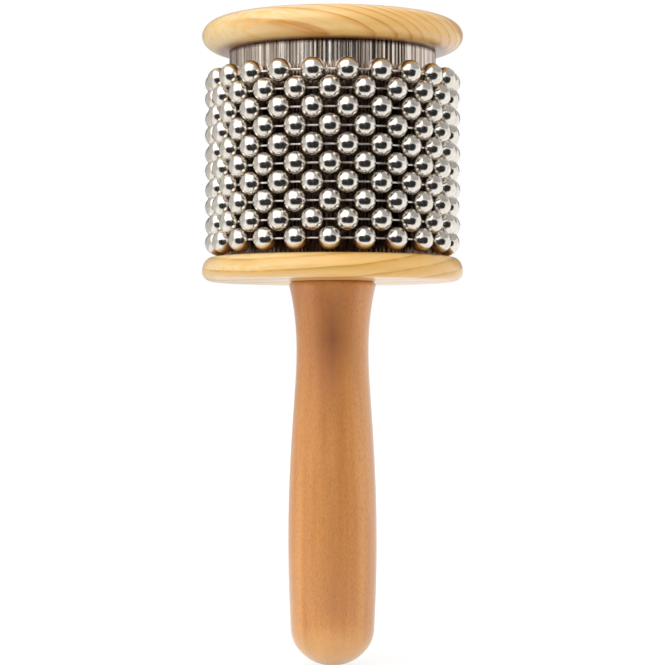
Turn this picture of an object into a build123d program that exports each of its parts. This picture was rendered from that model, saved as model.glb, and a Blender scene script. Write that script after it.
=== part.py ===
from build123d import *
import math
import os

# Ball chain: hollow balls joined by pins that have a knob inside each ball
BALL_DIAMETER = 7.25
BALL_WALL = 0.40
BALLS_PER_LOOP = 22
LOOP_COUNT = 10
PIN_DIAMETER = 0.60
PIN_PLAY = 0.18
KNOB_RATIO = 2.0
LOOP_PLAY = 0.24
FRONT_TURN = -1.27

# Drum: a crimped steel sleeve on a wooden core
SLEEVE_DIAMETER = 63.5
SLEEVE_SHEET = 0.40
FLUTE_COUNT = 144
FLUTE_DEPTH = 0.30
SEAM_FLUTES = 1
LOOP_CLEARANCE = 0.30
LOWEST_LOOP_LIFT = 0.60
TOP_SLACK = 5.80
GLUE_GAP = 0.05
CORE_EDGE = 0.6

# Discs: turned pine, the upper one thick with a long rounded rim, the lower one with a blunt rim.
# A rim is widest at its rise above the disc's underside
DISC_OVERHANG = 0.80
UPPER_THICKNESS = 9.7
UPPER_RIM_DEPTH = 6.6
UPPER_RIM_RISE = 4.85
LOWER_THICKNESS = 7.4
LOWER_RIM_DEPTH = 3.3
LOWER_RIM_RISE = 3.0

# Handle: turned beech, with its diameters and their distances from its upper end
HANDLE_LENGTH = 117.8
HANDLE_TOP_DIAMETER = 26.6
HANDLE_EDGE = 1.2
FLARE_DIAMETER = 24.0
FLARE_FROM_TOP = 8.0
NECK_DIAMETER = 22.3
NECK_FROM_TOP = 17.0
SWELL_DIAMETER = 24.1
SWELL_FROM_TOP = 40.0
BELLY_DIAMETER = 27.2
BELLY_FROM_TOP = 80.0
HEEL_DIAMETER = 25.6
HEEL_LEAN = 4.0
HEEL_CORNER_RADIUS = 10.5
HEEL_CAP_RADIUS = 13.5
TENON_DIAMETER = 16.0

# Tie bolt with its washer, threaded insert and cover plug
BOLT_DIAMETER = 6.0
BOLT_HOLE_PLAY = 0.3
BOLT_HEAD_DIAMETER = 13.0
BOLT_HEAD_HEIGHT = 2.4
BOLT_KEY_WIDTH = 4.0
BOLT_KEY_DEPTH = 1.5
WASHER_DIAMETER = 18.0
WASHER_THICKNESS = 1.6
PLUG_THICKNESS = 2.0
THREAD_ENGAGEMENT = 13.5
INSERT_DIAMETER = 9.5
INSERT_LENGTH = 15.0
INSERT_PLAY = 0.05
INSERT_COLLAR = 1.2

# Chain layout
ball_radius = BALL_DIAMETER / 2
pin_radius = PIN_DIAMETER / 2
loop_radius = SLEEVE_DIAMETER / 2 + LOOP_CLEARANCE + ball_radius
ball_angle = 360 / BALLS_PER_LOOP
half_angle = math.radians(ball_angle / 2)
ball_spacing = 2 * loop_radius * math.sin(half_angle)
half_step = 2 * loop_radius * math.sin(half_angle / 2)
row_pitch = math.sqrt((BALL_DIAMETER + LOOP_PLAY) ** 2 - half_step**2)
knob_radius = pin_radius * KNOB_RATIO
knob_offset = ball_radius - BALL_WALL - knob_radius - PIN_PLAY

# Heights, with zero at the middle of the handle, where the hand holds it
handle_top = HANDLE_LENGTH / 2
drum_bottom = handle_top + LOWER_THICKNESS
lowest_loop = drum_bottom + LOWEST_LOOP_LIFT + ball_radius
highest_loop = lowest_loop + (LOOP_COUNT - 1) * row_pitch
drum_top = highest_loop + ball_radius + TOP_SLACK
head_top = drum_top + UPPER_THICKNESS
drum_height = drum_top - drum_bottom

# Fits along the axis
disc_radius = loop_radius + ball_radius + DISC_OVERHANG
core_radius = SLEEVE_DIAMETER / 2 - FLUTE_DEPTH - SLEEVE_SHEET - GLUE_GAP
bolt_hole_radius = BOLT_DIAMETER / 2 + BOLT_HOLE_PLAY
tenon_hole_radius = TENON_DIAMETER / 2 + GLUE_GAP
recess_radius = WASHER_DIAMETER / 2 + 2 * GLUE_GAP
recess_depth = WASHER_THICKNESS + BOLT_HEAD_HEIGHT + PLUG_THICKNESS
washer_seat = head_top - recess_depth
head_seat = washer_seat + WASHER_THICKNESS
bolt_tip = drum_bottom - THREAD_ENGAGEMENT
insert_hole_radius = INSERT_DIAMETER / 2 + GLUE_GAP


def upright(radius, bottom, top):
    """A cylinder on the axis between two heights."""
    height = top - bottom
    return Pos(0, 0, bottom) * Cylinder(radius, height, align=(Align.CENTER, Align.CENTER, Align.MIN))


def turned(outline):
    """A solid of revolution about the axis from a closed outline of radius and height."""
    return revolve(Plane.XZ * make_face(outline), Axis.Z)


def handle():
    """Grip with a tenon on top and a blind hole for the threaded insert."""
    top_radius = HANDLE_TOP_DIAMETER / 2
    lean = math.radians(HEEL_LEAN)
    corner_offset = HEEL_DIAMETER / 2 - HEEL_CORNER_RADIUS * math.cos(lean)
    cap_height = HEEL_CAP_RADIUS - handle_top
    corner_drop = math.sqrt((HEEL_CAP_RADIUS - HEEL_CORNER_RADIUS) ** 2 - corner_offset**2)
    corner_height = cap_height - corner_drop
    cap_angle = math.degrees(math.atan2(corner_offset, corner_drop))
    tenon_radius = TENON_DIAMETER / 2
    hole_floor = (0, drum_bottom - INSERT_LENGTH - INSERT_COLLAR)
    hole_corner = (insert_hole_radius, drum_bottom - INSERT_LENGTH - INSERT_COLLAR)
    hole_mouth = (insert_hole_radius, drum_bottom)
    tenon_top = (tenon_radius, drum_bottom)
    tenon_foot = (tenon_radius, handle_top)
    edge_start = (top_radius - HANDLE_EDGE, handle_top)
    edge_end = (top_radius, handle_top - HANDLE_EDGE)
    flare = (FLARE_DIAMETER / 2, handle_top - FLARE_FROM_TOP)
    neck = (NECK_DIAMETER / 2, handle_top - NECK_FROM_TOP)
    swell = (SWELL_DIAMETER / 2, handle_top - SWELL_FROM_TOP)
    belly = (BELLY_DIAMETER / 2, handle_top - BELLY_FROM_TOP)
    heel = (HEEL_DIAMETER / 2, corner_height - HEEL_CORNER_RADIUS * math.sin(lean))
    tip = (0, -handle_top)
    socket = Polyline(tip, hole_floor, hole_corner, hole_mouth, tenon_top, tenon_foot, edge_start)
    edge = TangentArc(edge_start, edge_end, tangent=(1, 0))
    grip = Spline(edge_end, flare, neck, swell, belly, heel)
    corner_turn = 90 - cap_angle - HEEL_LEAN
    corner = CenterArc((corner_offset, corner_height), HEEL_CORNER_RADIUS, cap_angle - 90, corner_turn)
    cap = CenterArc((0, cap_height), HEEL_CAP_RADIUS, -90, cap_angle)
    return turned([*socket.edges(), edge, grip, corner, cap])


def disc(bottom, top, rim_depth, rim_rise):
    """Turned disc between two heights, with a quarter ellipse below and one above its widest place."""
    flat_radius = disc_radius - rim_depth
    rim_centre = (flat_radius, bottom + rim_rise)
    low_face = Line((0, bottom), (flat_radius, bottom))
    low_rim = EllipticalCenterArc(rim_centre, rim_depth, rim_rise, -90, arc_size=90)
    high_rim = EllipticalCenterArc(rim_centre, rim_depth, top - bottom - rim_rise, 0, arc_size=90)
    high_face = Line((flat_radius, top), (0, top))
    return turned([low_face, low_rim, high_rim, high_face, Line((0, top), (0, bottom))])


def lower_disc():
    """Disc with a hole that the handle's tenon fills."""
    body = disc(handle_top, drum_bottom, LOWER_RIM_DEPTH, LOWER_RIM_RISE)
    return body - upright(tenon_hole_radius, handle_top, drum_bottom)


def upper_disc():
    """Disc with a stepped hole for the bolt, its washer and the plug."""
    body = disc(drum_top, head_top, UPPER_RIM_DEPTH, UPPER_RIM_RISE)
    recess = upright(recess_radius, washer_seat, head_top)
    return body - upright(bolt_hole_radius, drum_top, head_top) - recess


def drum_core():
    """Wooden cylinder with broken edges and a bolt hole."""
    body = upright(core_radius, drum_bottom, drum_top)
    body = chamfer(body.edges().filter_by(GeomType.CIRCLE), CORE_EDGE)
    return body - upright(bolt_hole_radius, drum_bottom, drum_top)


def steel_sleeve():
    """Crimped sheet of even thickness, rolled to a tube with an open seam at the back."""
    crest = SLEEVE_DIAMETER / 2
    step = 180 / FLUTE_COUNT
    first = 90 + SEAM_FLUTES * step
    folds = 2 * (FLUTE_COUNT - SEAM_FLUTES) + 1
    outer = []
    inner = []
    for fold in range(folds):
        angle = math.radians(first + fold * step)
        radius = crest - FLUTE_DEPTH * (fold % 2)
        outer.append((radius * math.cos(angle), radius * math.sin(angle)))
        radius = radius - SLEEVE_SHEET
        inner.append((radius * math.cos(angle), radius * math.sin(angle)))
    section = make_face(Polyline(*outer, *reversed(inner), close=True))
    return Pos(0, 0, drum_bottom) * extrude(section, drum_height)


def tie_bolt():
    """Flat-headed bolt with a hexagonal key recess."""
    shank = upright(BOLT_DIAMETER / 2, bolt_tip, head_seat)
    shank = chamfer(shank.edges().sort_by(Axis.Z)[0], BOLT_DIAMETER / 10)
    head = upright(BOLT_HEAD_DIAMETER / 2, head_seat, head_seat + BOLT_HEAD_HEIGHT)
    head = fillet(head.edges().sort_by(Axis.Z)[-1], BOLT_HEAD_HEIGHT / 4)
    key = RegularPolygon(BOLT_KEY_WIDTH / 2, 6, major_radius=False)
    key_floor = head_seat + BOLT_HEAD_HEIGHT - BOLT_KEY_DEPTH
    recess = Pos(0, 0, key_floor) * extrude(key, BOLT_KEY_DEPTH)
    return shank + head - recess


def bolt_washer():
    """Flat washer under the bolt head."""
    body = upright(WASHER_DIAMETER / 2, washer_seat, head_seat)
    return body - upright(bolt_hole_radius, washer_seat, head_seat)


def handle_insert():
    """Threaded insert with a collar, set flush in the tenon."""
    bottom = drum_bottom - INSERT_LENGTH
    body = upright(INSERT_DIAMETER / 2, bottom, drum_bottom)
    neck = upright(INSERT_DIAMETER / 2, bottom + INSERT_COLLAR, drum_bottom - INSERT_COLLAR)
    waist = upright(INSERT_DIAMETER / 2 - INSERT_COLLAR / 2, bottom + INSERT_COLLAR, drum_bottom - INSERT_COLLAR)
    bore = upright(BOLT_DIAMETER / 2 + INSERT_PLAY, bottom, drum_bottom)
    return body - (neck - waist) - bore


def top_plug():
    """Wooden plug over the bolt head, flush with the upper disc."""
    return upright(recess_radius - GLUE_GAP, head_top - PLUG_THICKNESS, head_top)


def chain_ball():
    """Hollow ball at the origin, with a hole towards each neighbour in the loop."""
    shell = Sphere(ball_radius) - Sphere(ball_radius - BALL_WALL)
    for side in (1, -1):
        lean = side * math.degrees(half_angle)
        hole = Rot(0, 0, lean) * Pos(side * ball_radius, 0, 0) * Rot(0, 90, 0)
        shell = shell - hole * Cylinder(pin_radius + PIN_PLAY, 2 * (BALL_WALL + PIN_DIAMETER))
    return shell


def chain_pin():
    """Link pin along X with a round knob at each end."""
    reach = ball_spacing / 2 - knob_offset
    body = Rot(0, 90, 0) * Cylinder(pin_radius, 2 * reach)
    for side in (1, -1):
        body = body + Pos(side * reach, 0, 0) * Sphere(knob_radius)
    return body


def around(piece, radius, height, turn):
    """Copies of one piece, one for each ball of a loop, turned about the axis."""
    copies = []
    for number in range(BALLS_PER_LOOP):
        place = Rot(0, 0, turn + number * ball_angle) * Pos(0, -radius, height)
        copies.append(place * piece)
    return Compound(children=copies)


def chain_loops():
    """Balls and pins of every loop, from the highest down, each turned half a ball from the last."""
    ball = chain_ball()
    pin = chain_pin()
    loops = {}
    for row in range(LOOP_COUNT):
        height = highest_loop - row * row_pitch
        turn = FRONT_TURN + ball_angle / 2 * ((row + 1) % 2)
        name = f"loop_{row + 1:02d}"
        loops[f"{name}_balls"] = around(ball, loop_radius, height, turn)
        pin_ring_radius = loop_radius * math.cos(half_angle)
        loops[f"{name}_pins"] = around(pin, pin_ring_radius, height, turn + ball_angle / 2)
    return loops


def main():
    """Builds every piece and writes one STEP file for each."""
    nodes = {
        "handle": handle(),
        "handle_insert": handle_insert(),
        "lower_disc": lower_disc(),
        "drum_core": drum_core(),
        "steel_sleeve": steel_sleeve(),
        "upper_disc": upper_disc(),
        "tie_bolt": tie_bolt(),
        "bolt_washer": bolt_washer(),
        "top_plug": top_plug(),
    }
    nodes.update(chain_loops())
    os.makedirs("parts", exist_ok=True)
    for name, shape in nodes.items():
        export_step(shape, f"parts/{name}.step")


main()
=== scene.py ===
import logging
import math
from dataclasses import dataclass, field
from enum import Enum
from typing import Any, Sequence

import bpy
import numpy as np
from mathutils import Matrix, Vector


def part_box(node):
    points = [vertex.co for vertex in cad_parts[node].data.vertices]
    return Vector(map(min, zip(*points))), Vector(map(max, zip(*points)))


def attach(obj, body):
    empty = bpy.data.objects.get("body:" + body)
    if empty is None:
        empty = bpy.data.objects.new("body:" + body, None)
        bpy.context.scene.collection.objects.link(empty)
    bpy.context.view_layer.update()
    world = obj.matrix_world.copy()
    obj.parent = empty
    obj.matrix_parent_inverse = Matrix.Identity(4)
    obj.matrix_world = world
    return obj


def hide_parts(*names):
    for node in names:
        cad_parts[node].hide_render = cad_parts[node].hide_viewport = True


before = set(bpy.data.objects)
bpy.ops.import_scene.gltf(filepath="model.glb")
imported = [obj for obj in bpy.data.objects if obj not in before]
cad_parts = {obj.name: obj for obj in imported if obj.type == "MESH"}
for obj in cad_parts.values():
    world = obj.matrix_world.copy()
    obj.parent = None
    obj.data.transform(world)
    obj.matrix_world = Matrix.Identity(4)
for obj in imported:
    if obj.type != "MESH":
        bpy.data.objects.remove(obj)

log = logging.getLogger("cabasa")

MM = 0.001
FULL_TURN = 2.0 * math.pi
SEED = 7
FRAME_PIXELS = 665
SENSOR_MM = 36.0
SHARP_DEGREES = 40.0

# Colour sockets of a Mix node
MIX_INPUTS = (0, 6, 7)
MIX_OUTPUT = 2

Colour = tuple[float, float, float]
Triple = tuple[float, float, float]
Span = tuple[float, float]

ORIGIN: Triple = (0.0, 0.0, 0.0)
UNIT: Triple = (1.0, 1.0, 1.0)
WHITE: Colour = (1.0, 1.0, 1.0)


class Place(Enum):
    """Which of the two discs a turned disc is."""

    UPPER = "upper_disc"
    LOWER = "lower_disc"


class Axis(Enum):
    """The axis that a profile is carried round."""

    X = 0
    Z = 2


@dataclass(frozen=True)
class Surface:
    """A surface: its vertices, and its quads and triangles as rows of vertex numbers."""

    vertices: np.ndarray
    quads: np.ndarray
    triangles: np.ndarray = field(default_factory=lambda: np.empty((0, 3), int))


# Surfaces from profiles


def ring_faces(rings: int, segments: int, closed: bool) -> np.ndarray:
    """Quads between neighbouring rings of a grid that is numbered ring by ring.

    Args:
        rings: the count of rings.
        segments: vertices on each ring.
        closed: whether the last ring joins the first one.

    Returns:
        One row of four vertex numbers for each quad, facing outwards.
    """
    first = np.arange(rings if closed else rings - 1)[:, None]
    second = (first + 1) % rings
    left = np.arange(segments)[None, :]
    right = (left + 1) % segments
    corners = [(first, left), (first, right), (second, right), (second, left)]
    return np.stack([ring * segments + spot for ring, spot in corners], axis=-1).reshape(-1, 4)


def revolved(profile: np.ndarray, segments: int, closed: bool, axis: Axis = Axis.Z) -> Surface:
    """A profile of radius and height carried round an axis.

    Point (r, h) at angle a goes to (r cos a, r sin a, h), with the three turned so that h runs along the
    axis. A closed profile gives a ring; an open one starts and ends on the axis, where it gets a pole.

    Args:
        profile: rows of radius and height, running so that the solid is on the left.
        segments: vertices on each ring.
        closed: whether the profile's end joins its start.
        axis: the axis that the profile goes round.

    Returns:
        The surface, in the profile's own units.
    """
    rings = profile if closed else profile[1:-1]
    angle = np.linspace(0.0, FULL_TURN, segments, endpoint=False)
    radius, height = rings[:, :1], rings[:, 1:]
    grid = np.broadcast_arrays(radius * np.cos(angle), radius * np.sin(angle), height)
    vertices = np.stack(grid, axis=-1).reshape(-1, 3)
    quads = ring_faces(len(rings), segments, closed)
    fans = np.empty((0, 3), int)
    if not closed:
        poles = np.array([[0.0, 0.0, profile[0, 1]], [0.0, 0.0, profile[-1, 1]]])
        pole = np.full(segments, len(vertices))
        around = np.arange(segments)
        after = (around + 1) % segments
        last = (len(rings) - 1) * segments
        first_fan = np.stack([pole, after, around], axis=1)
        last_fan = np.stack([pole + 1, last + around, last + after], axis=1)
        fans = np.concatenate([first_fan, last_fan])
        vertices = np.concatenate([vertices, poles])
    if axis is Axis.X:
        vertices = vertices[:, [2, 0, 1]]
    return Surface(vertices, quads, fans)


def arc(centre: Span, radii: Span, start: float, stop: float, count: int) -> np.ndarray:
    """Points of an ellipse's arc: centre plus (a cos t, b sin t), with t in degrees.

    Args:
        centre: the ellipse's middle, as radius and height.
        radii: its two half axes.
        start: the first angle.
        stop: the last angle.
        count: how many points.

    Returns:
        Rows of radius and height.
    """
    turn = np.radians(np.linspace(start, stop, count))
    return np.stack([centre[0] + radii[0] * np.cos(turn), centre[1] + radii[1] * np.sin(turn)], axis=1)


def fair_curve(stations: np.ndarray, count: int) -> np.ndarray:
    """A smooth curve through stations: cubic pieces whose slopes and bends agree where they meet.

    Args:
        stations: rows of radius and height that the curve passes through.
        count: how many points.

    Returns:
        Rows of radius and height along the curve.
    """
    chord = np.linalg.norm(np.diff(stations, axis=0), axis=1)
    knot = np.concatenate([[0.0], np.cumsum(chord)])
    rise = np.diff(stations, axis=0) / chord[:, None]
    system = np.zeros((len(knot), len(knot)))
    inner = np.arange(1, len(knot) - 1)
    system[inner, inner - 1] = chord[1:]
    system[inner, inner] = 2.0 * (chord[:-1] + chord[1:])
    system[inner, inner + 1] = chord[:-1]
    system[0, 0] = system[-1, -1] = 1.0
    known = np.empty_like(stations)
    known[1:-1] = 3.0 * (chord[1:, None] * rise[:-1] + chord[:-1, None] * rise[1:])
    known[0] = rise[0] + (rise[0] - rise[1]) * chord[0] / (chord[0] + chord[1])
    known[-1] = rise[-1] + (rise[-1] - rise[-2]) * chord[-1] / (chord[-1] + chord[-2])
    slope = np.linalg.solve(system, known)
    along = np.linspace(0.0, knot[-1], count)
    piece = np.clip(np.searchsorted(knot, along, side="right") - 1, 0, len(chord) - 1)
    step = chord[piece][:, None]
    t = (along - knot[piece])[:, None] / step
    start, stop = stations[piece], stations[piece + 1]
    leave, arrive = slope[piece] * step, slope[piece + 1] * step
    return (
        start * (2 * t**3 - 3 * t**2 + 1)
        + leave * (t**3 - 2 * t**2 + t)
        + stop * (3 * t**2 - 2 * t**3)
        + arrive * (t**3 - t**2)
    )


def turned_copies(surface: Surface, angles: np.ndarray) -> Surface:
    """Copies of a surface, each turned about Z: (x cos a - y sin a, x sin a + y cos a, z).

    Args:
        surface: the shape to repeat.
        angles: one angle for each copy, in radians.

    Returns:
        All the copies as one surface.
    """
    cosine, sine = np.cos(angles)[:, None], np.sin(angles)[:, None]
    x, y, z = surface.vertices.T
    turned = np.broadcast_arrays(cosine * x - sine * y, sine * x + cosine * y, z)
    first = np.arange(len(angles))[:, None, None] * len(surface.vertices)
    quads = (surface.quads + first).reshape(-1, 4)
    triangles = (surface.triangles + first).reshape(-1, 3)
    return Surface(np.stack(turned, axis=-1).reshape(-1, 3), quads, triangles)


# Materials


def greys(stops: Sequence[Span]) -> list[tuple[float, Colour]]:
    """Stops of position and share as stops of position and grey."""
    return [(position, (share, share, share)) for position, share in stops]


class Shading:
    """The node tree of a material or world, with short ways to add and join nodes."""

    def __init__(self, name: str, world: bool = False) -> None:
        """Starts an empty tree with its output.

        Args:
            name: the material's or world's name.
            world: whether it is a world.
        """
        self.owner = (bpy.data.worlds if world else bpy.data.materials).new(name)
        self.owner.use_nodes = True
        self.tree = self.owner.node_tree
        self.tree.nodes.clear()
        self.output = self.add("OutputWorld" if world else "OutputMaterial")

    def add(self, kind: str, inputs: dict[Any, Any] | None = None, **settings: Any) -> Any:
        """Adds a node.

        Args:
            kind: the node's type without its ShaderNode prefix.
            inputs: socket names or numbers, with values or outputs to join.
            settings: the node's own properties.

        Returns:
            The node.
        """
        node = self.tree.nodes.new(f"ShaderNode{kind}")
        for key, value in settings.items():
            setattr(node, key, value)
        for socket, value in (inputs or {}).items():
            self.join(node, socket, value)
        return node

    def join(self, node: Any, socket: str | int, value: Any) -> None:
        """Sets a socket to a value, or joins another node's output to it.

        Args:
            node: the node with the socket.
            socket: the socket's name or number.
            value: a plain value, or an output.
        """
        if isinstance(value, bpy.types.NodeSocket):
            self.tree.links.new(value, node.inputs[socket])
        else:
            node.inputs[socket].default_value = value

    def maths(self, operation: str, *values: Any, clamp: bool = False) -> Any:
        """The result of a Math node on up to three values or outputs."""
        inputs = dict(enumerate(values))
        return self.add("Math", inputs, operation=operation, use_clamp=clamp).outputs["Value"]

    def product(self, first: Any, second: Any) -> Any:
        """Two values or outputs multiplied."""
        return self.maths("MULTIPLY", first, second)

    def spread(self, value: Any, low: float, high: float, start: float = 0.0, stop: float = 1.0) -> Any:
        """A value's run from low to high as a run from start to stop, held at both ends."""
        limits = {"From Min": low, "From Max": high, "To Min": start, "To Max": stop}
        return self.add("MapRange", {"Value": value, **limits}).outputs["Result"]

    def stretched(self, vector: Any, scale: Triple) -> Any:
        """A vector with each of its parts scaled on its own."""
        return self.add("VectorMath", {0: vector, 1: scale}, operation="MULTIPLY").outputs["Vector"]

    def placed(self, scale: Triple = UNIT, move: Triple = ORIGIN, turn: Sequence[float] = ORIGIN) -> Any:
        """Object coordinates scaled, turned and then moved, for a pattern.

        Args:
            scale: the pattern's units to a metre, each way.
            move: the move, in the pattern's units.
            turn: the turns about X, Y and Z, in radians.

        Returns:
            The vector for the pattern.
        """
        place = self.add("TexCoord").outputs["Object"]
        inputs = {"Vector": place, "Location": move, "Rotation": tuple(turn), "Scale": scale}
        return self.add("Mapping", inputs).outputs["Vector"]

    def spot(self) -> tuple[Any, Any, Any]:
        """X, Y and Z of the spot on the object, in metres."""
        parts = self.add("SeparateXYZ", {"Vector": self.add("TexCoord").outputs["Object"]}).outputs
        return parts["X"], parts["Y"], parts["Z"]

    def noise(self, vector: Any, scale: float = 1.0, detail: float = 2.0, roughness: float = 0.5) -> Any:
        """A noise pattern's value on a vector."""
        sockets = {"Vector": vector, "Scale": scale, "Detail": detail, "Roughness": roughness}
        return self.add("TexNoise", sockets).outputs["Fac"]

    def ramp(self, value: Any, stops: Sequence[tuple[float, Colour]]) -> Any:
        """Colours by value.

        Args:
            value: the output that runs over the ramp.
            stops: positions from 0 to 1 with their colours.

        Returns:
            The colour.
        """
        node = self.add("ValToRGB", {"Fac": value})
        elements = node.color_ramp.elements
        while len(elements) < len(stops):
            elements.new(0.5)
        for element, (position, colour) in zip(elements, stops):
            element.position = position
            element.color = (*colour, 1.0)
        return node.outputs["Color"]

    def between(self, value: Any, reach: Span, first: Colour, second: Colour) -> Any:
        """One colour below a reach of values, another above it, and their blend inside it."""
        return self.ramp(value, list(zip(reach, (first, second))))

    def mixed(self, share: Any, first: Any, second: Any) -> Any:
        """Two colours mixed by a share.

        Args:
            share: how much of the second colour there is.
            first: a colour or an output.
            second: a colour or an output.

        Returns:
            The mixed colour.
        """
        sides = [(*side, 1.0) if isinstance(side, tuple) else side for side in (first, second)]
        node = self.add("Mix", data_type="RGBA")
        for socket, value in zip(MIX_INPUTS, (share, *sides)):
            self.join(node, socket, value)
        return node.outputs[MIX_OUTPUT]

    def bump(self, height: Any, strength: float, distance: float) -> Any:
        """A normal bumped by a height pattern; distance in metres."""
        sockets = {"Height": height, "Strength": strength, "Distance": distance}
        return self.add("Bump", sockets).outputs["Normal"]

    def seen(self) -> Any:
        """One for rays from the camera, from a reflection or through glass, otherwise nought.

        Returns:
            The share, as an output.
        """
        path = self.add("LightPath").outputs
        seen = self.maths("ADD", path["Is Camera Ray"], path["Is Glossy Ray"], clamp=True)
        return self.maths("ADD", seen, path["Is Transmission Ray"], clamp=True)

    def surface(self, inputs: dict[str, Any]) -> bpy.types.Material:
        """Ends the tree with a Principled shader.

        Args:
            inputs: socket names with values or outputs.

        Returns:
            The finished material.
        """
        shader = self.add("BsdfPrincipled", inputs)
        self.join(self.output, "Surface", shader.outputs["BSDF"])
        return self.owner

    def two_shaders(self, share: Any, first: Any, second: Any) -> None:
        """Ends the tree with two shaders, the second one weighted by a share."""
        mixed = self.add("MixShader", {0: share, 1: first, 2: second})
        self.join(self.output, "Surface", mixed.outputs["Shader"])


@dataclass(frozen=True)
class PineFinish:
    """Lacquered flat-sawn pine: growth rings with a late wood line, cut through by the turned shape.

    The rings lie square to the direction across the board, and are counted in millimetres from the first
    one. Other lengths are in metres. Painted side light makes the wood paler on the left and deeper
    towards +X, the lines fade out on the calm side, and painted shade darkens the face beside the chain
    inside its edge. Patterns are scaled along the board, across it and through its rings.
    """

    name: str
    across: Triple
    first_ring: float
    rings_per_mm: float
    narrowing: float = 0.0
    narrow_end: float = 13.0
    wander: float = 0.5
    wander_scale: float = 32.0
    band: float = 0.50
    line_tail: tuple[Span, ...] = ((0.0, 0.9), (0.06, 0.0))
    line_rise: tuple[Span, ...] = ((0.82, 0.50), (0.93, 1.0))
    line_share: Span = (1.0, 0.30)
    fade_scale: Triple = (25.0, 60.0, 160.0)
    fade_reach: Span = (0.45, 0.72)
    calm_side: Span = (-0.2, -0.1)
    fibre_scale: Triple = (22.0, 500.0, 1100.0)
    fibre_reach: Span = (0.42, 0.80)
    # Painted side light: the wood is paler on the lit left and deeper towards +X.
    side_light_reach: Span = (-0.034, 0.016)
    side_light_share: float = 0.66
    # Painted shade on the face beside the chain: the face's height, how far in it reaches, its fade and
    # depth.
    chain_shade_face: float | None = None
    chain_shade_edge: float = 0.036
    chain_shade_fade: float = 0.0025
    chain_shade_depth: Span = (0.0016, 0.0002)
    pale: Colour = (0.91, 0.685, 0.33)
    warm: Colour = (0.93, 0.50, 0.105)
    late: Colour = (0.66, 0.29, 0.055)
    # colour of the painted shade beside the chain
    wear_and_shade_tone: Colour = (0.42, 0.165, 0.033)

    def board(self, shading: Shading) -> Any:
        """Coordinates along the board, across it and, as Z, through its rings.

        Args:
            shading: the material's tree.

        Returns:
            The vector, in metres.
        """
        rise = Vector(self.across).normalized()
        along = rise.cross(Vector((0.0, 1.0, 0.0))).normalized()
        return shading.placed(turn=Matrix((along, rise.cross(along), rise)).to_euler())

    def late_wood(self, shading: Shading, board: Any) -> Any:
        """How much late wood there is at a spot.

        The count of rings at depth d from the first one is d times (rings per millimetre plus the narrowing
        times d, up to its end), plus a slow noise. Its fraction runs from early to late wood.

        Args:
            shading: the material's tree.
            board: coordinates from the board method.

        Returns:
            The share of late wood, weaker where the lines fade and none past the calm side.
        """
        through = shading.add("SeparateXYZ", {"Vector": board}).outputs["Z"]
        depth = shading.maths("MULTIPLY_ADD", through, 1.0 / MM, -self.first_ring)
        narrowed = shading.maths("MINIMUM", depth, self.narrow_end)
        rate = shading.maths("MULTIPLY_ADD", narrowed, self.narrowing, self.rings_per_mm)
        drift = shading.noise(board, scale=self.wander_scale)
        drift = shading.maths("MULTIPLY_ADD", drift, self.wander, -self.wander / 2)
        ring = shading.maths("FRACT", shading.maths("MULTIPLY_ADD", depth, rate, drift))
        lines = shading.ramp(ring, greys([*self.line_tail, (self.band, 0.0), *self.line_rise]))
        lines = shading.product(lines, shading.spread(shading.spot()[0], *self.calm_side))
        fade = shading.noise(shading.stretched(board, self.fade_scale), detail=1.0)
        return shading.product(lines, shading.spread(fade, *self.fade_reach, *self.line_share))

    def chain_shade_share(self, shading: Shading, face: float) -> Any:
        """How much painted shade a spot gets: near the face beside the chain, and inside the shaded edge.

        Args:
            shading: the material's tree.
            face: height of that face.

        Returns:
            The share of painted shade.
        """
        x, y, z = shading.spot()
        apart = shading.maths("ABSOLUTE", shading.maths("SUBTRACT", z, face))
        square = shading.maths("MULTIPLY_ADD", x, x, shading.product(y, y))
        radius = shading.maths("SQRT", square)
        inside = shading.spread(radius, self.chain_shade_edge + self.chain_shade_fade, self.chain_shade_edge)
        return shading.product(shading.spread(apart, *self.chain_shade_depth), inside)

    def material(self) -> bpy.types.Material:
        """Pale wood with painted side light that deepens it towards +X, late wood lines, fibres and a satin
        coat.

        Returns:
            The material.
        """
        shading = Shading(self.name)
        board = self.board(shading)
        # painted side light: paler on the left, deeper towards +X
        side_light = shading.product(shading.spread(shading.spot()[0], *self.side_light_reach), self.side_light_share)
        tone = shading.mixed(side_light, self.pale, self.warm)
        tone = shading.mixed(self.late_wood(shading, board), tone, self.late)
        fibre = shading.noise(shading.stretched(board, self.fibre_scale), detail=3.0)
        tone = shading.mixed(shading.spread(fibre, *self.fibre_reach), tone, self.warm)
        # painted shade on the face beside the chain, where the balls shade it
        if self.chain_shade_face is not None:
            tone = shading.mixed(self.chain_shade_share(shading, self.chain_shade_face), tone, self.wear_and_shade_tone)
        normal = shading.bump(fibre, strength=0.10, distance=0.0002)
        sockets = {"Base Color": tone, "Roughness": 0.46, "Normal": normal}
        return shading.surface(sockets | {"Coat Weight": 0.75, "Coat Roughness": 0.20})


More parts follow.
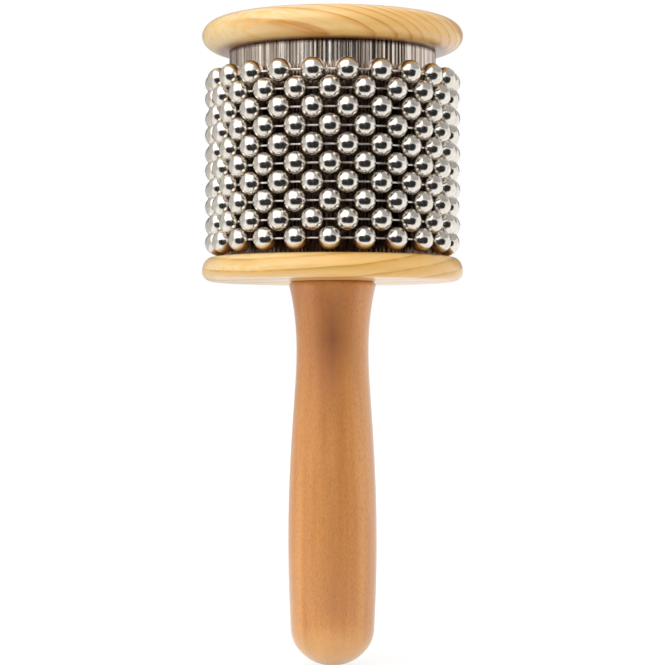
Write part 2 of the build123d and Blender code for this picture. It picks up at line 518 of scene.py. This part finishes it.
@dataclass(frozen=True)
class BeechFinish:
    """Lacquered steamed beech: fine grain along the handle with short dark pores and specks.

    Painted shade darkens the front, by its share at places from the tip to the disc, most at the neck under
    the disc. The heel is paler, partly its own tone and partly painted light.
    """

    name: str = "beech_satin"
    light: Colour = (0.87, 0.398, 0.092)
    deep: Colour = (0.65, 0.238, 0.038)
    pore: Colour = (0.34, 0.105, 0.028)
    streak_scale: Triple = (260.0, 260.0, 9.0)
    streak_reach: Span = (0.32, 0.68)
    cloud_scale: Triple = (45.0, 45.0, 14.0)
    cloud_move: Triple = (0.3, 0.1, 0.0)
    cloud_share: float = 0.5
    speck_scale: Triple = (2600.0, 2600.0, 1100.0)
    speck_move: Triple = (0.1, 0.0, 0.4)
    speck_reach: Span = (0.42, 0.66)
    speck_share: float = 0.26
    pore_scale: Triple = (2400.0, 2400.0, 420.0)
    pore_move: Triple = (0.0, 0.2, 0.0)
    pore_reach: Span = (0.60, 0.74)
    pore_share: float = 0.50
    # Painted shade down the front: its colour, its share from the tip to the disc, and its half width.
    painted_front_shade: Colour = (0.33, 0.10, 0.022)
    front_shade_rise: tuple[Span, ...] = (
        (0.08, 0.0), (0.16, 0.44), (0.40, 0.30), (0.60, 0.26),
        (0.72, 0.50), (0.85, 1.0), (0.94, 0.62), (1.0, 0.28),
    )
    front_shade_half: float = 0.010
    # The paler heel, partly painted light.
    heel: Colour = (0.86, 0.52, 0.21)
    heel_rise: Span = (0.12, 0.02)
    heel_share: float = 0.75
    sheen: Colour = (1.0, 0.95, 0.80)

    def with_front_shade(self, shading: Shading, tone: Any) -> Any:
        """The wood's tone with painted shade down its front and its paler heel, which is partly painted
        light.

        Args:
            shading: the material's tree.
            tone: the colour so far.

        Returns:
            The colour.
        """
        x, y, z = shading.spot()
        rise = shading.spread(z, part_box("handle")[0].z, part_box("lower_disc")[0].z)
        middle = shading.spread(shading.maths("ABSOLUTE", x), self.front_shade_half, 0.0)
        front = shading.spread(y, 0.0, -self.front_shade_half)
        # painted shade down the front, most at the neck under the disc
        painted_front_shade = shading.product(shading.ramp(rise, greys(self.front_shade_rise)), middle)
        tone = shading.mixed(shading.product(painted_front_shade, front), tone, self.painted_front_shade)
        # paler heel: partly the wood's tone, partly painted light
        heel = shading.product(shading.spread(rise, *self.heel_rise), self.heel_share)
        return shading.mixed(heel, tone, self.heel)

    def material(self) -> bpy.types.Material:
        """Long streaks, broad clouds of tone, specks and pores under a satin coat.

        Returns:
            The material.
        """
        shading = Shading(self.name)
        streak = shading.noise(shading.placed(self.streak_scale), detail=4.0, roughness=0.55)
        cloud = shading.noise(shading.placed(self.cloud_scale, self.cloud_move))
        speck = shading.noise(shading.placed(self.speck_scale, self.speck_move), detail=1.0)
        pores = shading.noise(shading.placed(self.pore_scale, self.pore_move), roughness=0.6)
        tone = shading.between(streak, self.streak_reach, self.deep, self.light)
        tone = shading.mixed(shading.product(cloud, self.cloud_share), tone, self.deep)
        for marks, reach, share in (
            (speck, self.speck_reach, self.speck_share),
            (pores, self.pore_reach, self.pore_share),
        ):
            tone = shading.mixed(shading.product(shading.spread(marks, *reach), share), tone, self.pore)
        # painted shade down the front, and the paler heel that is partly painted light
        tone = self.with_front_shade(shading, tone)
        normal = shading.bump(pores, strength=0.08, distance=0.0001)
        sockets = {"Base Color": tone, "Roughness": 0.45, "Normal": normal}
        sockets |= {"Coat Weight": 0.9, "Coat Roughness": 0.30}
        sockets |= {"Sheen Weight": 0.50, "Sheen Roughness": 0.35, "Sheen Tint": (*self.sheen, 1.0)}
        return shading.surface(sockets)


@dataclass(frozen=True)
class RawWoodFinish:
    """Bare turned softwood of the drum's core."""

    name: str = "core_raw"
    light: Colour = (0.74, 0.55, 0.34)
    dark: Colour = (0.58, 0.39, 0.20)
    streak_scale: Triple = (220.0, 220.0, 8.0)
    streak_reach: Span = (0.3, 0.7)

    def material(self) -> bpy.types.Material:
        """Streaks along the axis, dull.

        Returns:
            The material.
        """
        shading = Shading(self.name)
        streak = shading.noise(shading.placed(self.streak_scale), detail=3.0)
        tone = shading.between(streak, self.streak_reach, self.dark, self.light)
        return shading.surface({"Base Color": tone, "Roughness": 0.8})


@dataclass(frozen=True)
class MetalFinish:
    """Plated or polished metal with faint handling marks."""

    name: str
    clean: Colour
    # the tone of the handling marks
    wear_and_shade_tone: Colour
    roughness: Span
    mark_scale: float = 700.0
    mark_reach: Span = (0.35, 0.65)

    def material(self) -> bpy.types.Material:
        """Metal whose colour and gloss drift with a fine noise.

        Returns:
            The material.
        """
        shading = Shading(self.name)
        marks = shading.noise(shading.placed(), scale=self.mark_scale, detail=3.0)
        tone = shading.between(marks, self.mark_reach, self.wear_and_shade_tone, self.clean)
        gloss = shading.spread(marks, 0.0, 1.0, *self.roughness)
        return shading.surface({"Base Color": tone, "Metallic": 1.0, "Roughness": gloss})


@dataclass(frozen=True)
class SheetFinish:
    """Crimped stainless sheet, drawn so that fine streaks run up and down it.

    Heights are in metres. Painted shade darkens the sheet under the chain, and a painted shadow lies under
    the upper disc's face. The drops are measured down from the chain's top and from the upper disc's face,
    from where the painted shade starts to where it is full.
    """

    chain_top: float
    disc_face: float
    chain_drop: Span = (0.002, 0.008)
    disc_drop: Span = (0.0014, 0.0003)
    # share of the painted shade
    sheet_shade_share: float = 0.92
    name: str = "sleeve_crimped"
    bright: Colour = (0.87, 0.78, 0.69)
    brown: Colour = (0.23, 0.15, 0.10)
    # colour of the painted shade under the chain and beside the disc
    sheet_shade_tone: Colour = (0.11, 0.062, 0.036)
    streak_scale: Triple = (900.0, 900.0, 12.0)
    streak_reach: Span = (0.38, 0.58)
    roughness: Span = (0.29, 0.13)

    def material(self) -> bpy.types.Material:
        """Metal with streaks along the axis in tone and gloss, painted shade under the chain and a painted
        shadow beside the disc.

        Returns:
            The material.
        """
        shading = Shading(self.name)
        streak = shading.noise(shading.placed(self.streak_scale), detail=4.0, roughness=0.6)
        tone = shading.between(streak, self.streak_reach, self.brown, self.bright)
        height = shading.spot()[2]
        # painted shade under the chain and painted shadow just under the upper disc
        under_chain_shade = shading.spread(height, *(self.chain_top - drop for drop in self.chain_drop))
        under_disc_shadow = shading.spread(height, *(self.disc_face - drop for drop in self.disc_drop))
        dark = shading.product(shading.maths("MAXIMUM", under_chain_shade, under_disc_shadow), self.sheet_shade_share)
        tone = shading.mixed(dark, tone, self.sheet_shade_tone)
        gloss = shading.spread(streak, 0.0, 1.0, *self.roughness)
        normal = shading.bump(streak, strength=0.25, distance=0.0001)
        return shading.surface({"Base Color": tone, "Metallic": 1.0, "Roughness": gloss, "Normal": normal})


# Pieces


def add_piece(
    name: str, surface: Surface, material: bpy.types.Material, body: str, node: str
) -> None:
    """Puts a surface into the scene as a piece that stands for a CAD node.

    Args:
        name: the piece's name.
        surface: its shape, in metres and in place.
        material: its finish.
        body: the CAD body that it moves with.
        node: the CAD node that it replaces.
    """
    mesh = bpy.data.meshes.new(name)
    mesh.from_pydata(surface.vertices.tolist(), [], surface.quads.tolist() + surface.triangles.tolist())
    mesh.shade_smooth()
    mesh.set_sharp_from_angle(angle=math.radians(SHARP_DEGREES))
    mesh.materials.append(material)
    mesh.validate()
    piece = bpy.data.objects.new(name, mesh)
    bpy.context.scene.collection.objects.link(piece)
    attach(piece, body)
    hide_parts(node)
    log.info("%s: %d faces, rides on %s", name, len(mesh.polygons), body)


def dress(node: str, material: bpy.types.Material) -> None:
    """Gives a CAD node that stays a better material.

    Args:
        node: the node's name.
        material: its finish.
    """
    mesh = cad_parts[node].data
    mesh.materials.clear()
    mesh.materials.append(material)
    log.info("%s: kept from the frame", node)


@dataclass
class Handle:
    """The turned beech handle; diameters, with distances from its upper end, in millimetres."""

    top_diameter: float = 26.6
    edge: float = 1.2
    stations: tuple[Span, ...] = ((24.0, 8.0), (22.3, 17.0), (24.1, 40.0), (27.2, 80.0))
    heel_diameter: float = 25.6
    heel_lean: float = 4.0
    corner_radius: float = 10.5
    cap_radius: float = 13.5
    tenon_diameter: float = 16.0
    socket_diameter: float = 9.6
    socket_depth: float = 16.2
    segments: int = 112
    cap_points: int = 20
    corner_points: int = 16
    grip_points: int = 120
    edge_points: int = 8

    def profile(self) -> np.ndarray:
        """Heel of two arcs, fair grip, rounded edge, tenon and socket, from the tip to the socket's floor.

        The cap's arc is centred on the axis. The corner's arc touches it from inside, and ends where it leans
        by the heel's lean.

        Returns:
            Rows of radius and height, in millimetres.
        """
        low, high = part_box("handle")
        tip, mouth = low.z / MM, high.z / MM
        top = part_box("lower_disc")[0].z / MM
        lean = math.radians(self.heel_lean)
        offset = self.heel_diameter / 2 - self.corner_radius * math.cos(lean)
        drop = math.sqrt((self.cap_radius - self.corner_radius) ** 2 - offset**2)
        cap = tip + self.cap_radius
        corner = cap - drop
        seam = math.degrees(math.atan2(offset, drop)) - 90.0
        heel = corner - self.corner_radius * math.sin(lean)
        grip = [(self.heel_diameter / 2, heel)]
        grip += [(diameter / 2, top - below) for diameter, below in self.stations[::-1]]
        grip += [(self.top_diameter / 2, top - self.edge)]
        shoulder = (self.top_diameter / 2 - self.edge, top - self.edge)
        floor = mouth - self.socket_depth
        inside = [
            (self.tenon_diameter / 2, top),
            (self.tenon_diameter / 2, mouth),
            (self.socket_diameter / 2, mouth),
            (self.socket_diameter / 2, floor),
            (0.0, floor),
        ]
        round_cap = (self.cap_radius, self.cap_radius)
        round_corner = (self.corner_radius, self.corner_radius)
        sweep = [
            arc((0.0, cap), round_cap, -90.0, seam, self.cap_points),
            arc((offset, corner), round_corner, seam, -self.heel_lean, self.corner_points)[1:-1],
            fair_curve(np.array(grip), self.grip_points),
            arc(shoulder, (self.edge, self.edge), 0.0, 90.0, self.edge_points)[1:],
            np.array(inside),
        ]
        return np.concatenate(sweep)

    def build(self) -> None:
        """Makes the handle and dresses it in beech."""
        surface = revolved(self.profile() * MM, self.segments, closed=False)
        add_piece("handle_turned", surface, BeechFinish().material(), "frame", "handle")


@dataclass
class Disc:
    """One of the two pine discs; millimetres."""

    place: Place
    finish: PineFinish
    rim_depth: float = 6.6
    rim_rise: float = 4.85
    bore_diameter: float = 16.1
    recess: Span = (0.0, 0.0)
    segments: int = 144
    flat_points: int = 12
    rim_points: int = 21

    def profile(self) -> np.ndarray:
        """Flat faces joined by two quarter ellipses at the rim's widest place, with a stepped bore.

        Returns:
            Rows of radius and height, in millimetres.
        """
        low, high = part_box(self.place.value)
        bottom, top = low.z / MM, high.z / MM
        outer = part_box("lower_disc")[1].x / MM
        bore = self.bore_diameter / 2
        centre = (outer - self.rim_depth, bottom + self.rim_rise)
        wide, deep = self.recess
        out = np.linspace(bore, centre[0], self.flat_points)[:-1]
        back = np.linspace(centre[0], max(bore, wide / 2), self.flat_points)[1:]
        step = [(wide / 2, top - deep), (bore, top - deep)] if deep else []
        parts = [
            np.stack([out, np.full_like(out, bottom)], axis=1),
            arc(centre, (self.rim_depth, self.rim_rise), -90.0, 0.0, self.rim_points)[:-1],
            arc(centre, (self.rim_depth, top - centre[1]), 0.0, 90.0, self.rim_points),
            np.stack([back, np.full_like(back, top)], axis=1),
            np.array(step).reshape(-1, 2),
        ]
        return np.concatenate(parts)

    def build(self) -> None:
        """Makes the disc and dresses it in pine."""
        surface = revolved(self.profile() * MM, self.segments, closed=True)
        name = f"{self.place.value}_turned"
        add_piece(name, surface, self.finish.material(), "frame", self.place.value)


@dataclass
class Plug:
    """The pine plug over the bolt head, with a slightly broken edge; millimetres."""

    finish: PineFinish
    edge: float = 0.25
    segments: int = 72

    def build(self) -> None:
        """Makes the plug and dresses it in pine."""
        low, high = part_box("top_plug")
        bottom, top, radius = low.z / MM, high.z / MM, high.x / MM
        side = [(radius, bottom), (radius, top - self.edge), (radius - self.edge, top)]
        rows = [(0.0, bottom), *side, (0.0, top)]
        surface = revolved(np.array(rows) * MM, self.segments, closed=False)
        add_piece("top_plug_turned", surface, self.finish.material(), "frame", "top_plug")


@dataclass
class Sleeve:
    """The crimped steel sheet rolled round the core, with its open seam at the back; millimetres."""

    flutes: int = 144
    flute_widths: Span = (0.55, 1.45)
    flute_depths: Span = (0.35, 1.0)
    depth: float = 0.30
    sheet: float = 0.40
    seam_degrees: float = 1.25
    samples: int = 8
    rows: int = 7

    def radius(self, place: np.ndarray, crest: float) -> np.ndarray:
        """Crest less a wave, half of one minus a cosine, whose width and depth vary from flute to flute.

        Args:
            place: where on the sheet, as a share of its length from 0 to 1.
            crest: the largest radius.

        Returns:
            The outer radius at each place.
        """
        drawn = np.random.default_rng(SEED)
        widths = drawn.uniform(*self.flute_widths, self.flutes)
        edges = np.concatenate([[0.0], np.cumsum(widths) / widths.sum()])
        depths = self.depth * drawn.uniform(*self.flute_depths, self.flutes)
        flute = np.clip(np.searchsorted(edges, place, side="right") - 1, 0, self.flutes - 1)
        inside = (place - edges[flute]) / (edges[flute + 1] - edges[flute])
        return crest - depths[flute] * (0.5 - 0.5 * np.cos(FULL_TURN * inside))

    def surface(self) -> Surface:
        """The sheet's section, out along its outer face and back along its inner one, drawn up the drum.

        Returns:
            The sheet, in metres.
        """
        low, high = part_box("steel_sleeve")
        share = np.linspace(0.0, 1.0, self.flutes * self.samples + 1)
        outer = self.radius(share, high.x / MM)
        turn = np.radians(90.0 + self.seam_degrees / 2 + share * (360.0 - self.seam_degrees))
        ring = np.concatenate([outer, (outer - self.sheet)[::-1]])
        turn = np.concatenate([turn, turn[::-1]])
        height = np.linspace(low.z / MM, high.z / MM, self.rows)[:, None]
        grid = np.stack(np.broadcast_arrays(ring * np.cos(turn), ring * np.sin(turn), height), axis=-1)
        count = len(ring)
        out = np.arange(len(share) - 1)
        cap = np.stack([out, out + 1, count - 2 - out, count - 1 - out], axis=1)
        sides = ring_faces(self.rows, count, closed=False)
        quads = np.concatenate([sides, cap[:, ::-1], cap + (self.rows - 1) * count])
        return Surface(grid.reshape(-1, 3) * MM, quads)

    def build(self) -> None:
        """Makes the sleeve and dresses it in streaked steel."""
        chain_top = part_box("loop_01_balls")[1].z
        disc_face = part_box("steel_sleeve")[1].z
        sheet = SheetFinish(chain_top, disc_face).material()
        add_piece("sleeve_crimped", self.surface(), sheet, "frame", "steel_sleeve")


@dataclass
class BallChain:
    """Ten closed loops of pierced balls and knobbed pins; millimetres and degrees."""

    balls: int = 22
    loops: int = 10
    clearance: float = 0.30
    wall: float = 0.40
    hole_diameter: float = 0.96
    pin_diameter: float = 0.60
    knob_diameter: float = 1.2
    front_turn: float = -1.27
    ball_sides: int = 16
    ball_rings: int = 9
    inner_rings: int = 3
    pin_sides: int = 8
    knob_rings: int = 4
    polish: MetalFinish = MetalFinish("ball_polish", (0.85, 0.80, 0.73), (0.74, 0.685, 0.61), (0.15, 0.22))
    wire: MetalFinish = MetalFinish("pin_wire", (0.99, 0.96, 0.92), (0.94, 0.90, 0.85), (0.22, 0.34))

    def sizes(self, loop: int) -> tuple[float, float, float]:
        """Sizes of one loop, from the frame's boxes.

        Args:
            loop: the loop's number.

        Returns:
            Ball radius, loop radius and height.
        """
        low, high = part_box(f"loop_{loop:02d}_balls")
        ball = (high.z - low.z) / 2 / MM
        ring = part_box("steel_sleeve")[1].x / MM + self.clearance + ball
        return ball, ring, (high.z + low.z) / 2 / MM

    def ball_shape(self, ball: float) -> Surface:
        """One pierced hollow ball on the X axis.

        A circle's arc from hole to hole, back along the inner wall, carried round X. Each point is then
        turned about Z by the half angle between balls times its share x / r, which stays on the sphere and
        bends the two holes towards the neighbours.

        Args:
            ball: the ball's outer radius.

        Returns:
            The ball about its own centre.
        """
        inside = ball - self.wall
        hole, lip = (math.degrees(math.asin(self.hole_diameter / 2 / r)) for r in (ball, inside))
        outer = arc((0.0, 0.0), (ball, ball), hole - 90.0, 90.0 - hole, self.ball_rings)
        inner = arc((0.0, 0.0), (inside, inside), 90.0 - lip, lip - 90.0, self.inner_rings)
        shape = revolved(np.concatenate([outer, inner]), self.ball_sides, closed=True, axis=Axis.X)
        x, y, z = shape.vertices.T
        bend = math.pi / self.balls * x / ball
        bent = [x * np.cos(bend) - y * np.sin(bend), x * np.sin(bend) + y * np.cos(bend), z]
        return Surface(np.stack(bent, axis=1), shape.quads)

    def pin_shape(self, reach: float) -> Surface:
        """One pin along X: a wire between two round knobs, whose arcs start where they meet the wire.

        Args:
            reach: distance from the pin's middle to a knob's centre.

        Returns:
            The pin about its own middle.
        """
        knob = self.knob_diameter / 2
        start = math.degrees(math.acos(self.pin_diameter / 2 / knob))
        half = arc((0.0, reach), (knob, knob), -start, 90.0, self.knob_rings)
        rows = np.concatenate([half[::-1] * np.array([1.0, -1.0]), half])
        return revolved(rows, self.pin_sides, closed=False, axis=Axis.X)

    def loop_copies(self, shape: Surface, radius: float, height: float, turn: float) -> Surface:
        """A loop's copies of one shape, moved to the front and turned about Z in equal steps.

        Args:
            shape: the ball or pin, in millimetres.
            radius: how far it is from the axis.
            height: its height.
            turn: the first copy's turn from the front.

        Returns:
            All the copies as one surface, in metres.
        """
        moved = (shape.vertices + np.array([0.0, -radius, height])) * MM
        angles = np.radians(turn) + np.arange(self.balls) * FULL_TURN / self.balls
        return turned_copies(Surface(moved, shape.quads, shape.triangles), angles)

    def build(self) -> None:
        """Makes every loop's balls and pins, each loop riding on its own body."""
        polish, wire = self.polish.material(), self.wire.material()
        half = math.pi / self.balls
        play = (self.hole_diameter - self.pin_diameter) / 2
        for loop in range(1, self.loops + 1):
            ball, ring, height = self.sizes(loop)
            turn = self.front_turn + math.degrees(half) * (loop % 2)
            body = f"loop_{loop:02d}"
            spheres = self.loop_copies(self.ball_shape(ball), ring, height, turn)
            add_piece(f"{body}_balls_polished", spheres, polish, body, f"{body}_balls")
            inset = ball - self.wall - self.knob_diameter / 2 - play
            pin = self.pin_shape(ring * math.sin(half) - inset)
            pins = self.loop_copies(pin, ring * math.cos(half), height, turn + math.degrees(half))
            add_piece(f"{body}_pins_drawn", pins, wire, body, f"{body}_pins")


@dataclass
class InnerPieces:
    """Core, bolt, washer and insert, which stay as the frame has them."""

    core: RawWoodFinish = RawWoodFinish()
    zinc: MetalFinish = MetalFinish("zinc_plate", (0.66, 0.66, 0.64), (0.50, 0.50, 0.49), (0.25, 0.4))
    brass: MetalFinish = MetalFinish("insert_brass", (0.74, 0.56, 0.26), (0.58, 0.42, 0.17), (0.25, 0.4))

    def build(self) -> None:
        """Dresses the pieces inside the drum."""
        zinc = self.zinc.material()
        dress("drum_core", self.core.material())
        dress("tie_bolt", zinc)
        dress("bolt_washer", zinc)
        dress("handle_insert", self.brass.material())


# Studio


@dataclass(frozen=True)
class Card:
    """A studio card by bearing and rise as seen from the drum; degrees and metres.

    Half is its half width and its reach above the centre; below is its reach under it. Shade is the share of
    soft light that it holds back, growing over the shade's rise, so that it is open low down.
    """

    name: str
    centre: Span
    half: Span
    below: float
    distance: float
    tone: Colour
    shade: float = 0.0
    shade_rise: Span = (-0.05, 0.09)
    notch: float = 0.0
    notch_place: float = -0.10
    notch_width: float = 0.16
    left_share: float = 1.0
    left_blend: float = 0.1
    squareness: float = 1.0
    rings: int = 32
    sides: int = 180

    def surface(self, middle: float, floor: float) -> Surface:
        """A fan of bearings and rises, bent round the drum.

        Wide and tall are cos v and sin v, with their size raised to the squareness. Bearing is the centre
        plus u times the half width times wide. Rise is the centre plus u times tall times the reach above or
        below. The reach above shrinks to its left share on the left, and has a notch of a Gaussian's shape
        near the middle. Spots that would pass the floor come nearer.

        Args:
            middle: height of the drum's middle.
            floor: height of the floor.

        Returns:
            The card, in place.
        """
        share = np.linspace(0.0, 1.0, self.rings + 1)[1:, None]
        turn = np.linspace(0.0, FULL_TURN, self.sides, endpoint=False)
        wide, tall = (np.sign(w) * np.abs(w) ** self.squareness for w in (np.cos(turn), np.sin(turn)))
        right = 0.5 + 0.5 * np.tanh(wide / self.left_blend)
        above = self.half[1] * (self.left_share + (1.0 - self.left_share) * right)
        above = above * (1.0 - self.notch * np.exp(-(((wide - self.notch_place) / self.notch_width) ** 2)))
        reach = np.where(tall > 0.0, above, self.below)
        bearing = np.radians(self.centre[0] + self.half[0] * share * wide)
        rise = np.radians(self.centre[1] + reach * share * tall)
        away = np.minimum(self.distance, (middle - floor - MM) / np.maximum(-np.sin(rise), MM))
        level = away * np.cos(rise)
        spots = [level * np.sin(bearing), -level * np.cos(bearing), middle + away * np.sin(rise)]
        quads = ring_faces(self.rings, self.sides, closed=False)
        return Surface(np.stack(spots, axis=-1).reshape(-1, 3), quads)


DARK_CARD = Card(
    "dark_card", centre=(5.0, -10.5), half=(58.0, 32.0), below=32.0, distance=0.62,
    tone=(0.030, 0.031, 0.036), shade=0.50, notch=0.32, left_share=0.85, squareness=0.7,
)
GREY_FLAG = Card(
    "grey_flag", centre=(80.0, 48.0), half=(64.0, 38.0), below=30.0, distance=0.95, tone=(0.48, 0.48, 0.49)
)
PALE_FLAG = Card(
    "pale_flag", centre=(-120.0, 4.0), half=(60.0, 46.0), below=36.0, distance=0.95, tone=(0.66, 0.65, 0.64)
)
REAR_CARD = Card(
    "rear_card", centre=(180.0, 13.0), half=(48.0, 20.0), below=11.0, distance=0.80, tone=(0.26, 0.26, 0.27),
    squareness=0.7,
)


@dataclass
class Studio:
    """Camera, pale floor, soft box, white room and cards that the metal reflects; metres and degrees."""

    camera_distance: float = 0.6804
    camera_height: float = 0.03495
    camera_tilt: float = 0.70
    camera_clip: Span = (0.01, 50.0)
    focal_pixels: float = 2212.0
    floor_half: float = 5.0
    floor_tone: Colour = (0.9, 0.9, 0.9)
    floor_glow: float = 1.1
    shadow_reach: Span = (0.10, 0.22)
    shadow_glow: float = 0.74
    room_light: float = 0.80
    room_tint: Colour = (1.0, 0.99, 0.975)
    card_middle: float = 0.095
    cards: tuple[Card, ...] = (DARK_CARD, GREY_FLAG, PALE_FLAG, REAR_CARD)
    key_angle: Span = (-38.0, 43.0)
    key_size: Span = (1.6, 1.5)
    key_distance: float = 1.2
    key_target: float = 0.08
    key_light: float = 1.16

    def camera(self) -> None:
        """A long lens level with the handle's neck, at the photograph's distance."""
        data = bpy.data.cameras.new("photo_camera")
        data.sensor_width = SENSOR_MM
        data.lens = self.focal_pixels / FRAME_PIXELS * SENSOR_MM
        data.clip_start, data.clip_end = self.camera_clip
        camera = bpy.data.objects.new("photo_camera", data)
        camera.location = (0.0, -self.camera_distance, self.camera_height)
        camera.rotation_euler = (math.radians(90.0 + self.camera_tilt), 0.0, 0.0)
        bpy.context.scene.collection.objects.link(camera)
        bpy.context.scene.camera = camera

    def put(self, name: str, surface: Surface, material: bpy.types.Material) -> bpy.types.Object:
        """Puts a stage piece into the scene.

        Args:
            name: the piece's name.
            surface: its shape, in place.
            material: its finish.

        Returns:
            The new object.
        """
        mesh = bpy.data.meshes.new(name)
        mesh.from_pydata(surface.vertices.tolist(), [], surface.quads.tolist())
        mesh.materials.append(material)
        piece = bpy.data.objects.new(name, mesh)
        bpy.context.scene.collection.objects.link(piece)
        return piece

    def floor(self) -> None:
        """A wide pale floor under the handle's end: white, with the object's shadow close to it."""
        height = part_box("handle")[0].z
        corners = np.array([(-1, -1), (1, -1), (1, 1), (-1, 1)]) * self.floor_half
        surface = Surface(np.column_stack([corners, np.full(4, height)]), np.array([[0, 1, 2, 3]]))
        shading = Shading("studio_floor")
        place = shading.placed(move=(0.0, 0.0, -height))
        apart = shading.add("VectorMath", {0: place}, operation="LENGTH").outputs["Value"]
        share = shading.spread(apart, *self.shadow_reach, self.shadow_glow, 1.0)
        diffuse = shading.add("BsdfDiffuse", {"Color": (*self.floor_tone, 1.0)}).outputs["BSDF"]
        glow = shading.add("Emission", {"Color": (*WHITE, 1.0), "Strength": self.floor_glow})
        shading.two_shaders(shading.product(shading.seen(), share), diffuse, glow.outputs["Emission"])
        self.put("studio_floor", surface, shading.owner)

    def hang(self, card: Card) -> None:
        """Puts up a card that the metal reflects and the camera does not see.

        Args:
            card: the card.
        """
        shading = Shading(card.name)
        shade = shading.product(shading.spread(shading.spot()[2], *card.shade_rise), card.shade)
        let_through = shading.maths("SUBTRACT", 1.0, shade)
        soft = shading.product(shading.add("LightPath").outputs["Is Diffuse Ray"], let_through)
        felt = shading.add("BsdfDiffuse", {"Color": (*card.tone, 1.0)}).outputs["BSDF"]
        shading.two_shaders(soft, felt, shading.add("BsdfTransparent").outputs["BSDF"])
        surface = card.surface(self.card_middle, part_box("handle")[0].z)
        piece = self.put(card.name, surface, shading.owner)
        piece.visible_camera = piece.visible_shadow = False

    def key(self) -> None:
        """A large soft box high on the left, in front of the drum."""
        data = bpy.data.lights.new("key_box", "AREA")
        data.shape = "RECTANGLE"
        data.size, data.size_y = self.key_size
        data.energy = self.key_light * math.pi * self.key_size[0] * self.key_size[1]
        side, rise = (math.radians(angle) for angle in self.key_angle)
        away = Vector((math.sin(side) * math.cos(rise), -math.cos(side) * math.cos(rise), math.sin(rise)))
        lamp = bpy.data.objects.new("key_box", data)
        lamp.location = away * self.key_distance + Vector((0.0, 0.0, self.key_target))
        lamp.rotation_euler = (math.radians(90.0) - rise, 0.0, side)
        lamp.visible_camera = False
        bpy.context.scene.collection.objects.link(lamp)

    def room(self) -> None:
        """White walls all round, at a plain level where they light the object."""
        shading = Shading("studio_room", world=True)
        bpy.context.scene.world = shading.owner
        lit = shading.add("Background", {"Color": (*self.room_tint, 1.0), "Strength": self.room_light})
        white = shading.add("Background", {"Color": (*WHITE, 1.0), "Strength": 1.0})
        shading.two_shaders(shading.seen(), lit.outputs["Background"], white.outputs["Background"])

    def build(self) -> None:
        """Sets up everything round the object."""
        self.camera()
        self.floor()
        for card in self.cards:
            self.hang(card)
        self.key()
        self.room()
        bpy.context.scene.view_settings.view_transform = "Standard"


def main() -> None:
    """Builds the cabasa's pieces in order, then the studio."""
    logging.basicConfig(level=logging.INFO, format="%(message)s")
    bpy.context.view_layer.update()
    upper_pine = PineFinish(
        "pine_upper", (0.268, 0.292, 0.918), first_ring=108.5, rings_per_mm=0.147, narrowing=0.02, band=0.66,
        calm_side=(-0.040, -0.014), chain_shade_face=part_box("upper_disc")[0].z, chain_shade_edge=0.034,
    )
    lower_pine = PineFinish(
        "pine_lower", (-0.093, -0.134, 0.987), first_ring=63.1, rings_per_mm=0.285, band=0.35,
        line_share=(1.0, 0.70), chain_shade_face=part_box("lower_disc")[1].z, late=(0.66, 0.34, 0.035),
    )
    plug_pine = PineFinish("pine_plug", (0.5, -0.2, 0.84), first_ring=100.0, rings_per_mm=0.45)
    Handle().build()
    Disc(Place.LOWER, lower_pine, rim_depth=3.3, rim_rise=3.0).build()
    Disc(Place.UPPER, upper_pine, bore_diameter=6.6, recess=(18.2, 6.0)).build()
    Plug(plug_pine).build()
    Sleeve().build()
    BallChain().build()
    InnerPieces().build()
    Studio().build()


if __name__ == "__main__":
    main()
